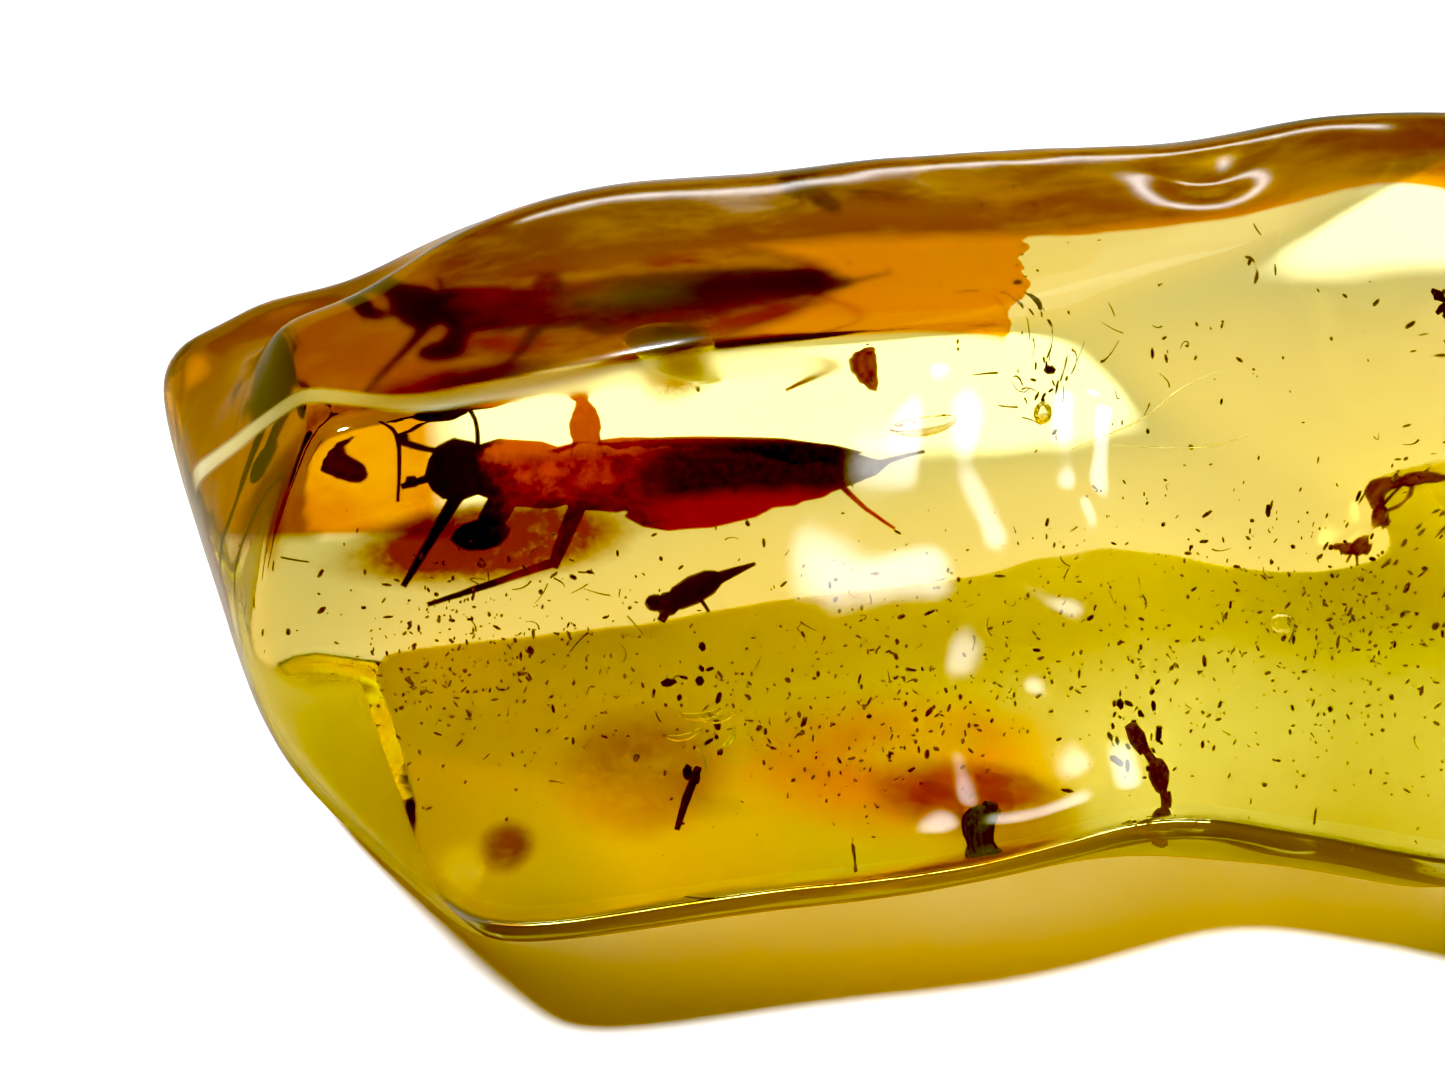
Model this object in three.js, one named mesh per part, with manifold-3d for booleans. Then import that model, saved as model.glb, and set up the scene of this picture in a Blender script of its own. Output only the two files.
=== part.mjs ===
// A polished nugget of honey-coloured copal with insects and plant scraps sealed in it.
// Millimetres, +Z up. The nugget lies on the ground flat under it: X runs along its length,
// -Y is the broad ground face that shows the insects, and the origin is under its middle.

import * as THREE from 'three';
import { mergeVertices } from 'three/addons/utils/BufferGeometryUtils.js';
import Module from 'manifold-3d';

// ---- driving dimensions: the nugget -----------------------------------------------------

const CENTRE = new THREE.Vector3(0, 0.5, 8.3);
const REACH = new THREE.Vector3(28, 12, 8.5);
const ROUNDING = 34;
const SKIN_DETAIL = 9;
const SHIFT = new THREE.Vector3(-1.345, -0.98, 0);

// Ground facets: azimuth and elevation of the outward normal in degrees, distance from CENTRE.
const FACETS = [
  { name: 'front', azimuth: -90, elevation: 38, distance: 6.8 },
  { name: 'top', azimuth: 90, elevation: 82, distance: 6.8 },
  { name: 'back_top', azimuth: 90, elevation: 52, distance: 8.7 },
  { name: 'back', azimuth: 90, elevation: 10, distance: 11.8 },
  { name: 'bottom', azimuth: -90, elevation: -90, distance: 8.6 },
  { name: 'front_under', azimuth: -90, elevation: -36, distance: 11.2 },
  { name: 'back_under', azimuth: 90, elevation: -41, distance: 9.5 },
  { name: 'left', azimuth: 190, elevation: -6, distance: 25.65 },
  { name: 'left_front_low', azimuth: -141.5, elevation: -26, distance: 21.6 },
  { name: 'left_under', azimuth: 188, elevation: -72, distance: 14.35 },
  { name: 'left_top', azimuth: 180, elevation: 38, distance: 22.3 },
  { name: 'right', azimuth: 0, elevation: 8, distance: 28.8 },
  { name: 'right_front', azimuth: -45, elevation: 8, distance: 23.5 },
  { name: 'right_back', azimuth: 50, elevation: 14, distance: 22.5 },
  { name: 'right_top', azimuth: 10, elevation: 58, distance: 17.5 },
  { name: 'right_upper', azimuth: -60, elevation: 62, distance: 6.95 },
];

// Girth and sideways sway of the nugget at stations along X.
const STATIONS = [-30, -26.6, -24, -21, -17, -12, -6, 0, 5, 10, 16, 22, 30];
const GIRTH = [
  0.98, 0.985, 1.06, 1.085, 1.115, 1.14, 1.14, 1.11, 1.13, 1.2, 1.15, 1.05, 0.98,
];
const SWAY = [0.1, 0.1, 0.1, 0.1, 0.3, 0.75, 0.9, 1.3, 0.5, -0.65, -0.3, 0.0, 0.0];

// Shallow hollows left by wear and polishing: centre near the skin, radius and depth.
const HOLLOWS = [
  { at: [-6.5, -5.8, 10.9], radius: 3.6, depth: 0.45 },
  { at: [0.4, -3.6, 12.8], radius: 4.2, depth: 0.5 },
  { at: [4.2, -6.4, 10.2], radius: 3.8, depth: 0.45 },
  { at: [-3.4, -7.4, 8.4], radius: 2.6, depth: 0.3 },
  { at: [5.2, 6.8, 16.0], radius: 1.9, depth: 0.6 },
  { at: [-23.4, -3.0, 11.5], radius: 3.0, depth: 0.35 },
  { at: [1.6, -9.8, 5.0], radius: 3.2, depth: 0.45 },
  { at: [-13.5, -7.8, 8.2], radius: 3.6, depth: 0.3 },
  { at: [-9.0, 9.0, 14.5], radius: 4.0, depth: 0.35 },
  { at: [-4.0, 13.0, 9.5], radius: 5.0, depth: 0.55 },
  { at: [11.0, 12.5, 8.0], radius: 5.5, depth: 0.6 },
  { at: [16.0, -6.5, 11.0], radius: 4.5, depth: 0.5 },
  { at: [22.0, 3.0, 15.0], radius: 4.0, depth: 0.45 },
  { at: [-14.0, 11.5, 6.5], radius: 4.5, depth: 0.45 },
  { at: [-23.0, 9.3, 13.0], radius: 4.2, depth: 3.1 },
];

// The flow layer in which the insects lie, where the copal is parted in two.
const LAYER_POINT = new THREE.Vector3(-12.3, 6.6, 5.4);
const LAYER_TILT = 13.2;
const LAYER_GAP = 0.3;
const POCKET_CLEARANCE = 0.3;

// ---- driving dimensions: what is sealed in it ---------------------------------------------
// Each inclusion is laid out flat, X to the right, Y up and Z towards the viewer of the front
// face, from its own centre `at`. A ball has half-axes and a turn about Z, a limb two ends
// with a radius at each, and a trunk a row of rings. `pocket` lists the balls of the hollow round it; the limbs' own
// hollows are added to them.

const ball = (x, y, z, a, b, c, turn = 0, detail = 1) => ({ x, y, z, a, b, c, turn, detail });
const limb = (from, to, r1, r2, sides = 5) => ({ from, to, r1, r2, sides });

const CRICKET = {
  at: [-12.7, 6.5, 5.35],
  along: [1, 0.04, 0.0],
  facing: [-0.06, -0.76, 0.64],
  scale: 1,
  // Thorax and ringed abdomen: X along the body, radius, height of the middle line.
  trunk: [
    [-5.4, 0.0, 1.5],
    [-5.2, 0.75, 1.46],
    [-4.4, 1.1, 1.28],
    [-3.2, 1.12, 1.08],
    [-2.75, 0.98, 1.0],
    [-2.2, 1.14, 0.92],
    [-1.3, 1.16, 0.76],
    [-1.05, 1.06, 0.7],
    [-0.4, 1.2, 0.57],
    [-0.15, 1.12, 0.52],
    [0.5, 1.28, 0.4],
    [0.75, 1.16, 0.36],
    [1.4, 1.26, 0.28],
    [1.65, 1.14, 0.27],
    [2.3, 1.16, 0.24],
    [2.55, 1.02, 0.23],
    [3.2, 1.0, 0.22],
    [3.45, 0.86, 0.22],
    [4.1, 0.8, 0.22],
    [4.35, 0.67, 0.22],
    [5.0, 0.58, 0.25],
    [5.25, 0.47, 0.27],
    [6.0, 0.36, 0.36],
    [6.7, 0.22, 0.42],
    [7.1, 0.0, 0.46],
  ],
  trunkSides: 10,
  flatness: 0.93,
  balls: [
    ball(-5.62, 1.52, 0, 0.98, 0.94, 0.95, 0, 1),
    ball(-5.97, 1.86, 0.58, 0.34, 0.36, 0.34, 0, 0),
    ball(-6.98, 1.4, 0.15, 0.24, 0.22, 0.22, 0, 0),
    ball(1.6, 1.32, 0.62, 4.8, 0.46, 0.28, -6),
    ball(2.2, 1.2, -0.4, 4.4, 0.42, 0.28, -7),
    ball(1.5, -0.28, 0.1, 2.6, 0.78, 0.8, 4),
    ball(-5.2, -0.55, 0.25, 0.82, 0.48, 0.55, 4),
    ball(-1.9, 2.4, 0.75, 0.48, 0.6, 0.36, -14),
  ],
  limbs: [
    limb([-6.45, 1.46, 0.15], [-7.2, 1.3, 0.15], 0.15, 0.1),
    limb([-5.0, 2.1, 0.3], [-4.88, 3.1, 0.3], 0.08, 0.05),
    limb([-6.1, 2.2, -0.3], [-7.2, 2.45, -0.3], 0.08, 0.07),
    limb([-7.2, 2.45, -0.3], [-7.45, 0.9, -0.3], 0.07, 0.05),
    limb([-5.7, 0.75, 0.35], [-6.6, -0.6, 0.35], 0.24, 0.15),
    limb([-6.6, -0.6, 0.35], [-7.45, -1.8, 0.35], 0.15, 0.1),
    limb([-4.4, 0.6, 0.2], [-5.1, -0.5, 0.25], 0.45, 0.35),
    limb([-1.98, 0.9, 0.7], [-1.86, 2.45, 0.75], 0.6, 0.34),
    limb([-2.3, 0.2, 0.4], [-3.25, -1.6, 0.4], 0.3, 0.15),
    limb([-3.25, -1.6, 0.4], [-6.79, -2.5, 0.4], 0.15, 0.08),
    limb([6.4, 0.4, 0.1], [7.95, 0.74, 0.1], 0.12, 0.05),
    limb([5.5, 0.1, -0.1], [6.2, -0.75, -0.1], 0.1, 0.07),
    limb([6.2, -0.75, -0.1], [6.95, -1.38, -0.1], 0.07, 0.05),
  ],
  pocket: [
    ball(-5.66, 1.55, 0.05, 1.65, 1.6, 1.6),
    ball(-2.6, 0.95, 0, 3.6, 1.85, 1.85, -9),
    ball(1.9, 0.3, 0, 4.3, 1.98, 1.85, -2),
    ball(5.4, 0.35, 0, 3.0, 1.4, 1.4, 4, 0),
    ball(-5.2, -0.6, 0.25, 1.65, 1.2, 1.2, 0, 0),
    ball(-1.9, 2.4, 0.75, 1.2, 1.35, 1.0, -14, 0),
    ball(-7.0, 1.6, 0.0, 1.15, 1.55, 1.0, 0, 0),
  ],
};

const GNAT = {
  at: [-6.07, 11.2, 6.55],
  along: [1, 0.05, 0.0],
  facing: [-0.08, -0.77, 0.64],
  scale: 0.88,
  trunk: [
    [-0.62, 0.0, 0],
    [-0.5, 0.34, 0],
    [-0.2, 0.46, 0],
    [-0.1, 0.4, 0],
    [0.15, 0.52, 0],
    [0.25, 0.44, 0],
    [0.5, 0.5, 0],
    [0.6, 0.42, 0],
    [0.85, 0.4, 0],
    [0.95, 0.3, 0],
    [1.2, 0.22, 0],
    [1.4, 0.0, 0],
  ],
  trunkSides: 7,
  trunkTurn: -66,
  flatness: 0.85,
  balls: [
    ball(-0.7, 0.45, 0, 0.46, 0.56, 0.4, -12),
    ball(-0.72, 1.12, 0, 0.27, 0.27, 0.27, 0, 0),
  ],
  limbs: [
    limb([-0.6, 0.1, 0], [-0.6, -0.5, 0.1], 0.12, 0.08),
    limb([-0.6, -0.5, 0.1], [-1.35, -0.72, 0.1], 0.09, 0.08),
    limb([-1.35, -0.72, 0.1], [-2.35, -1.0, 0.1], 0.08, 0.05),
    limb([0.1, 0.5, 0], [1.7, 0.15, 0], 0.14, 0.1),
    limb([1.7, 0.15, 0], [2.8, -0.1, 0.05], 0.09, 0.05),
    limb([0.9, 0.33, 0], [1.7, -0.28, 0], 0.08, 0.07),
    limb([1.7, -0.28, 0], [2.8, -0.42, 0], 0.07, 0.06),
    limb([2.8, -0.42, 0], [3.85, -0.1, 0], 0.06, 0.05),
  ],
  pocket: [
    ball(-0.75, 0.6, 0, 1.1, 1.5, 1.05, 0, 0),
    ball(0.2, -0.35, 0, 1.3, 1.85, 1.15, 24, 0),
  ],
};

const SMALL_BEETLE = {
  at: [-11.86, 3.02, 4.56],
  along: [1, -0.05, 0.0],
  facing: [-0.05, -0.75, 0.66],
  scale: 1,
  balls: [
    ball(-0.15, 0.05, 0, 1.05, 0.45, 0.42, 22),
    ball(-1.35, -0.25, 0, 0.32, 0.26, 0.24),
    ball(-0.95, -0.3, 0, 0.42, 0.38, 0.36, 24),
  ],
  limbs: [
    limb([0.5, 0.3, 0], [1.65, 0.7, 0], 0.24, 0.05),
    limb([-0.9, -0.3, 0], [-1.14, -0.7, 0], 0.2, 0.14),
    limb([0.0, -0.1, 0.1], [0.3, -0.62, 0.15], 0.08, 0.05),
  ],
  pocket: [
    ball(-0.3, -0.02, 0, 2.1, 1.2, 1.1, 22, 0),
    ball(-1.3, -0.4, 0, 0.95, 1.0, 0.85, 0, 0),
  ],
};

const HUMPBACKED_FLY = {
  at: [10.9, 2.13, 4.25],
  along: [0.84, -0.54, 0.0],
  facing: [-0.34, -0.7, 0.62],
  scale: 0.8,
  balls: [
    ball(0.12, 0.06, 0, 0.36, 0.26, 0.25),
    ball(0.48, 0.02, 0, 0.17, 0.16, 0.16, 0, 0),
    ball(-0.28, -0.04, 0, 0.4, 0.2, 0.2, 6),
    ball(-0.62, 0.0, 0.08, 0.5, 0.14, 0.06, 8, 0),
  ],
  limbs: [
    limb([0.15, -0.1, 0], [0.32, -0.46, 0.05], 0.07, 0.05, 4),
    limb([-0.05, -0.1, 0], [-0.12, -0.44, 0.05], 0.07, 0.05, 4),
  ],
  pocket: [
    ball(-0.15, 0.02, 0, 1.75, 0.9, 0.85, 0, 0),
  ],
};

const SEED = {
  at: [-21.2, 8.2, 6.0],
  along: [1, 0.0, 0.0],
  facing: [-0.07, -0.75, 0.66],
  scale: 0.85,
  balls: [
    ball(0, 0, 0, 0.42, 0.36, 0.28, 20),
    ball(-0.28, -0.12, 0, 0.22, 0.2, 0.18, 0, 0),
  ],
  limbs: [],
  pocket: [
    ball(-0.08, -0.03, 0, 1.05, 0.95, 0.8, 20, 0),
  ],
};

const BARK_BIT = {
  at: [-4.6, -6.4, 2.38],
  along: [1, -0.1, 0.0],
  facing: [-0.03, -0.9, 0.4],
  scale: 0.85,
  balls: [
    ball(0, 0, 0, 0.6, 0.55, 0.35, 30),
    ball(0.3, 0.25, 0.05, 0.42, 0.48, 0.32, -20, 0),
  ],
  limbs: [],
  pocket: [
    ball(0.05, 0.08, 0, 1.4, 1.3, 1.0, 30, 0),
  ],
};

const PLANT_SCRAP = {
  at: [1.39, -5.38, 2.59],
  along: [1, -0.1, 0.0],
  facing: [-0.17, -0.72, 0.67],
  scale: 1,
  balls: [
    ball(-0.6, 1.1, 0, 0.36, 0.56, 0.24, 30, 0),
    ball(0.1, 0.05, 0, 0.4, 0.5, 0.28, 10),
    ball(0.45, -0.95, 0.05, 0.34, 0.66, 0.26, 14, 0),
  ],
  limbs: [
    limb([-0.7, 1.35, 0], [0.1, 0.1, 0], 0.14, 0.18),
    limb([0.1, 0.1, 0], [0.55, -1.5, 0], 0.18, 0.1),
  ],
  pocket: [
    ball(-0.55, 1.05, 0, 1.1, 1.4, 0.9, 30, 0),
    ball(0.3, -0.5, 0, 1.15, 2.0, 0.95, 14, 0),
  ],
};

const TWIG = {
  at: [-12.95, -4.61, 2.77],
  along: [1, -0.08, 0.0],
  facing: [-0.04, -0.73, 0.69],
  scale: 1,
  balls: [
    ball(0.3, 0.62, 0, 0.2, 0.24, 0.18, 0, 0),
  ],
  limbs: [
    limb([0.38, 0.85, 0], [0.0, 0.0, 0], 0.12, 0.15),
    limb([0.0, 0.0, 0], [-0.3, -0.85, 0], 0.15, 0.09),
  ],
  pocket: [
    ball(0.02, 0.02, 0, 1.05, 1.8, 0.9, -20, 0),
  ],
};

// ---- materials ----------------------------------------------------------------------------

const CLEAR = { color: 0xe8b83a, roughness: 0.05, metalness: 0, transparent: true, opacity: 0.45 };
const CUTICLE_DARK = { color: 0x2a0d06, roughness: 0.45, metalness: 0 };
const CUTICLE_BROWN = { color: 0x7a3d10, roughness: 0.5, metalness: 0 };
const CUTICLE_BLACK = { color: 0x140d08, roughness: 0.4, metalness: 0 };
const PLANT_BROWN = { color: 0x3b2410, roughness: 0.85, metalness: 0 };
const PLANT_GREEN = { color: 0x23280f, roughness: 0.9, metalness: 0 };

// ---- solids -------------------------------------------------------------------------------

const wasm = await Module();
wasm.setup();

/** A manifold solid from a closed geometry. */
function solidOf(geometry) {
  const plain = geometry.clone();
  plain.deleteAttribute('normal');
  plain.deleteAttribute('uv');
  const merged = mergeVertices(plain, 1e-5);
  return new wasm.Manifold(new wasm.Mesh({
    numProp: 3,
    vertProperties: new Float32Array(merged.attributes.position.array),
    triVerts: new Uint32Array(merged.index.array),
  }));
}

/** A geometry from a manifold solid. */
function geometryOf(solid) {
  const mesh = solid.getMesh();
  const geometry = new THREE.BufferGeometry();
  geometry.setAttribute('position', new THREE.BufferAttribute(mesh.vertProperties, 3));
  geometry.setIndex(new THREE.BufferAttribute(mesh.triVerts, 1));
  geometry.computeVertexNormals();
  return geometry;
}

/** Outward unit normal of a ground facet. */
function facetNormal({ azimuth, elevation }) {
  const a = THREE.MathUtils.degToRad(azimuth);
  const e = THREE.MathUtils.degToRad(elevation);
  return new THREE.Vector3(Math.cos(a) * Math.cos(e), Math.sin(a) * Math.cos(e), Math.sin(e));
}

/** Smooth value at x between the stations (Hermite segments, level at both ends). */
function along(x, values) {
  const last = STATIONS.length - 2;
  let i = STATIONS.findIndex((station) => station >= x) - 1;
  if (i < 0) {
    i = x > STATIONS[0] ? last : 0;
  }
  const slope = (k) => (k === 0 || k > last ? 0
    : (values[k + 1] - values[k - 1]) / (STATIONS[k + 1] - STATIONS[k - 1]));
  const h = STATIONS[i + 1] - STATIONS[i];
  const t = THREE.MathUtils.clamp((x - STATIONS[i]) / h, 0, 1);
  const t2 = t * t;
  const t3 = t2 * t;
  return (2 * t3 - 3 * t2 + 1) * values[i] + (t3 - 2 * t2 + t) * h * slope(i)
    + (-2 * t3 + 3 * t2) * values[i + 1] + (t3 - t2) * h * slope(i + 1);
}

const FACET_NORMALS = FACETS.map(facetNormal);

/** Point of the nugget's skin in a unit direction from CENTRE. */
function skinPoint(direction) {
  let sum = 0;
  FACETS.forEach((facet, i) => {
    const lean = Math.max(direction.dot(FACET_NORMALS[i]), 0);
    sum += (lean / facet.distance) ** ROUNDING;
  });
  const point = direction.clone().multiplyScalar(sum ** (-1 / ROUNDING)).add(CENTRE);
  const girth = along(point.x, GIRTH);
  point.y = point.y * girth + along(point.x, SWAY);
  point.z *= girth;
  HOLLOWS.forEach(({ at, radius, depth }) => {
    const centre = new THREE.Vector3(...at);
    const push = depth * Math.exp(-point.distanceToSquared(centre) / radius ** 2);
    const inward = new THREE.Vector3(0, CENTRE.y - centre.y, CENTRE.z - centre.z).normalize();
    point.addScaledVector(inward, push);
  });
  return point;
}

/** The whole nugget, its ground base cut flat at z = 0. */
function nuggetSolid() {
  const geometry = new THREE.IcosahedronGeometry(1, SKIN_DETAIL);
  const position = geometry.attributes.position;
  const direction = new THREE.Vector3();
  for (let i = 0; i < position.count; i += 1) {
    direction.fromBufferAttribute(position, i).multiply(REACH).normalize();
    const point = skinPoint(direction);
    position.setXYZ(i, point.x, point.y, point.z);
  }
  const ground = solidOf(new THREE.BoxGeometry(120, 120, 20).translate(0, 0, -10));
  return solidOf(geometry).subtract(ground);
}

/** Slab on one side of the flow layer, half the gap away from it. */
function layerSlab(side) {
  const slab = new THREE.BoxGeometry(160, 160, 60);
  slab.translate(0, 0, side * (30 - LAYER_GAP / 2));
  slab.rotateX(THREE.MathUtils.degToRad(LAYER_TILT));
  slab.translate(LAYER_POINT.x, LAYER_POINT.y, LAYER_POINT.z);
  return solidOf(slab);
}

/** Placement of an inclusion: its flat frame turned and moved into the copal. */
function placement({ at, along: right, facing, scale }) {
  const z = new THREE.Vector3(...facing).normalize();
  const y = new THREE.Vector3().crossVectors(z, new THREE.Vector3(...right)).normalize();
  const x = new THREE.Vector3().crossVectors(y, z);
  return new THREE.Matrix4().makeBasis(x, y, z)
    .scale(new THREE.Vector3(scale, scale, scale))
    .setPosition(...at);
}

/** One limb as a tapered bar that runs a little past both its ends. */
function limbSolid({ from, to, r1, r2, sides }) {
  const a = new THREE.Vector3(...from);
  const b = new THREE.Vector3(...to);
  const length = a.distanceTo(b) + (r1 + r2) * 0.8;
  const bar = new THREE.CylinderGeometry(r2, r1, length, sides, 1);
  const turn = new THREE.Quaternion().setFromUnitVectors(
    new THREE.Vector3(0, 1, 0),
    b.clone().sub(a).normalize(),
  );
  bar.applyQuaternion(turn);
  const middle = a.clone().add(b).multiplyScalar(0.5);
  bar.translate(middle.x, middle.y, middle.z);
  return solidOf(bar);
}

/** One ball as a stretched, turned sphere. */
function ballSolid({ x, y, z, a, b, c, turn, detail }) {
  const geometry = new THREE.IcosahedronGeometry(1, detail);
  geometry.scale(a, b, c);
  geometry.rotateZ(THREE.MathUtils.degToRad(turn));
  return solidOf(geometry.translate(x, y, z));
}

/** A ringed trunk turned about its own long axis and bowed along its middle line. */
function trunkSolid({ trunk, trunkSides, trunkTurn = 0, flatness }) {
  const profile = trunk.map(([x, r]) => new THREE.Vector2(r, x));
  const geometry = new THREE.LatheGeometry(profile, trunkSides);
  geometry.rotateZ(-Math.PI / 2);
  geometry.scale(1, 1, flatness);
  const position = geometry.attributes.position;
  for (let i = 0; i < position.count; i += 1) {
    const row = trunk.reduce((best, item) => (
      Math.abs(item[0] - position.getX(i)) < Math.abs(best[0] - position.getX(i)) ? item : best));
    position.setY(i, position.getY(i) + row[2]);
  }
  return solidOf(geometry.rotateZ(THREE.MathUtils.degToRad(trunkTurn)));
}

/** Balls and limbs fused into one solid and laid in their place. */
function fused(plan, balls, limbs, trunks = []) {
  const pieces = [...trunks, ...balls.map(ballSolid), ...limbs.map(limbSolid)];
  const whole = pieces.reduce((sum, piece) => sum.add(piece));
  return whole.transform(placement(plan).elements);
}

/** The inclusion itself. */
function inclusionSolid(plan) {
  const trunks = plan.trunk ? [trunkSolid(plan)] : [];
  return fused(plan, plan.balls, plan.limbs, trunks);
}

/** The hollow round an inclusion, its limbs' sleeves square in section. */
function pocketSolid(plan) {
  const room = POCKET_CLEARANCE / plan.scale;
  const sleeve = (r) => (r + room) * Math.SQRT2;
  const sleeves = plan.limbs.map((item) => ({
    ...item,
    r1: sleeve(item.r1),
    r2: sleeve(item.r2),
    sides: 4,
  }));
  return fused(plan, plan.pocket, sleeves);
}

// ---- the object ---------------------------------------------------------------------------

const INCLUSIONS = [
  { name: 'cricket', plan: CRICKET, finish: CUTICLE_DARK },
  { name: 'gnat', plan: GNAT, finish: CUTICLE_BROWN },
  { name: 'small_beetle', plan: SMALL_BEETLE, finish: CUTICLE_BLACK },
  { name: 'humpbacked_fly', plan: HUMPBACKED_FLY, finish: CUTICLE_BROWN },
  { name: 'seed', plan: SEED, finish: PLANT_BROWN },
  { name: 'bark_bit', plan: BARK_BIT, finish: PLANT_GREEN },
  { name: 'plant_scrap', plan: PLANT_SCRAP, finish: PLANT_BROWN },
  { name: 'twig', plan: TWIG, finish: PLANT_BROWN },
];

const group = new THREE.Group();

/** Adds one named mesh to the object. */
function place(name, solid, finish) {
  const mesh = new THREE.Mesh(geometryOf(solid), new THREE.MeshStandardMaterial(finish));
  mesh.name = name;
  mesh.position.copy(SHIFT);
  group.add(mesh);
}

const nugget = nuggetSolid();
const pockets = INCLUSIONS
  .map(({ plan }) => pocketSolid(plan))
  .reduce((sum, pocket) => sum.add(pocket));

place('copal_upper', nugget.subtract(layerSlab(-1)).subtract(pockets), CLEAR);
place('copal_lower', nugget.subtract(layerSlab(1)).subtract(pockets), CLEAR);
INCLUSIONS.forEach(({ name, plan, finish }) => {
  place(name, inclusionSolid(plan), finish);
});

export default group;
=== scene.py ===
"""A polished nugget of honey-coloured copal with insects and plant scraps sealed in it."""

import logging
import math
import random
from dataclasses import dataclass, field
from enum import Enum
from typing import Any, Iterable, Sequence

import bmesh
import bpy
from mathutils import Euler, Matrix, Vector, noise
from mathutils.bvhtree import BVHTree


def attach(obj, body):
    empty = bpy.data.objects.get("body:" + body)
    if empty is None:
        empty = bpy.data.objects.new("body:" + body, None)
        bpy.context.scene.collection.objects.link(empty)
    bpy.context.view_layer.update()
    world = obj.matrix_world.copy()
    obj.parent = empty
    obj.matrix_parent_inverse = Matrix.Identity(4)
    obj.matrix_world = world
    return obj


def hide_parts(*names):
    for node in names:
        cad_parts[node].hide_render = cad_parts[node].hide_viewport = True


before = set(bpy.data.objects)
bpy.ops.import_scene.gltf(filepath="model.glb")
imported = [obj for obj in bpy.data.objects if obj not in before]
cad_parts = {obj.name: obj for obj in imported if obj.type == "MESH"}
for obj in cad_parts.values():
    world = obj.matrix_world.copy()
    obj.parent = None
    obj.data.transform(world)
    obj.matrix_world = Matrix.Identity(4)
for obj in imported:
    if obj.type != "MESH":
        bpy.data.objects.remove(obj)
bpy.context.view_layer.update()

LOG = logging.getLogger("copal")
MM = 0.001
BODY = "root"
SHIFT = Vector((-1.345, -0.98, 0.0))
RESIN_IOR = 1.54
TISSUE_IOR = 1.02

Span = tuple[float, float]
Colour = tuple[float, float, float]
Place = tuple[float, float, float]
WHITE: Colour = (1.0, 1.0, 1.0)
BLACK: Colour = (0.0, 0.0, 0.0)


class Slot(Enum):
    """Material slot names of the record; this script does not use them."""

    COPAL = "copal"
    BROWN = "cuticle_brown"
    PLANT = "plant_brown"
    GREEN = "plant_green"


# ---- shader arithmetic -------------------------------------------------------------------


class Field:
    """A shader socket that takes part in arithmetic."""

    def __init__(self, kit: "NodeKit", socket: Any) -> None:
        """Keeps the socket.

        Args:
            kit: the node kit that owns the socket's tree.
            socket: the output socket.
        """
        self.kit = kit
        self.socket = socket

    def _with(self, operation: str, other: Any, swap: bool = False) -> "Field":
        """Adds one Math node.

        Args:
            operation: the Math node's operation.
            other: a field or a number.
            swap: whether the other value comes first.

        Returns:
            The result as a field.
        """
        first, second = (other, self) if swap else (self, other)
        return self.kit.maths(operation, first, second)

    def __add__(self, other: Any) -> "Field":
        """Sum."""
        return self._with("ADD", other)

    __radd__ = __add__

    def __sub__(self, other: Any) -> "Field":
        """Difference."""
        return self._with("SUBTRACT", other)

    def __rsub__(self, other: Any) -> "Field":
        """Difference from a number."""
        return self._with("SUBTRACT", other, swap=True)

    def __mul__(self, other: Any) -> "Field":
        """Product."""
        return self._with("MULTIPLY", other)

    __rmul__ = __mul__

    def clamped(self) -> "Field":
        """Held between 0 and 1."""
        return self.kit.maths("MAXIMUM", self.kit.maths("MINIMUM", self, 1.0), 0.0)


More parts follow.
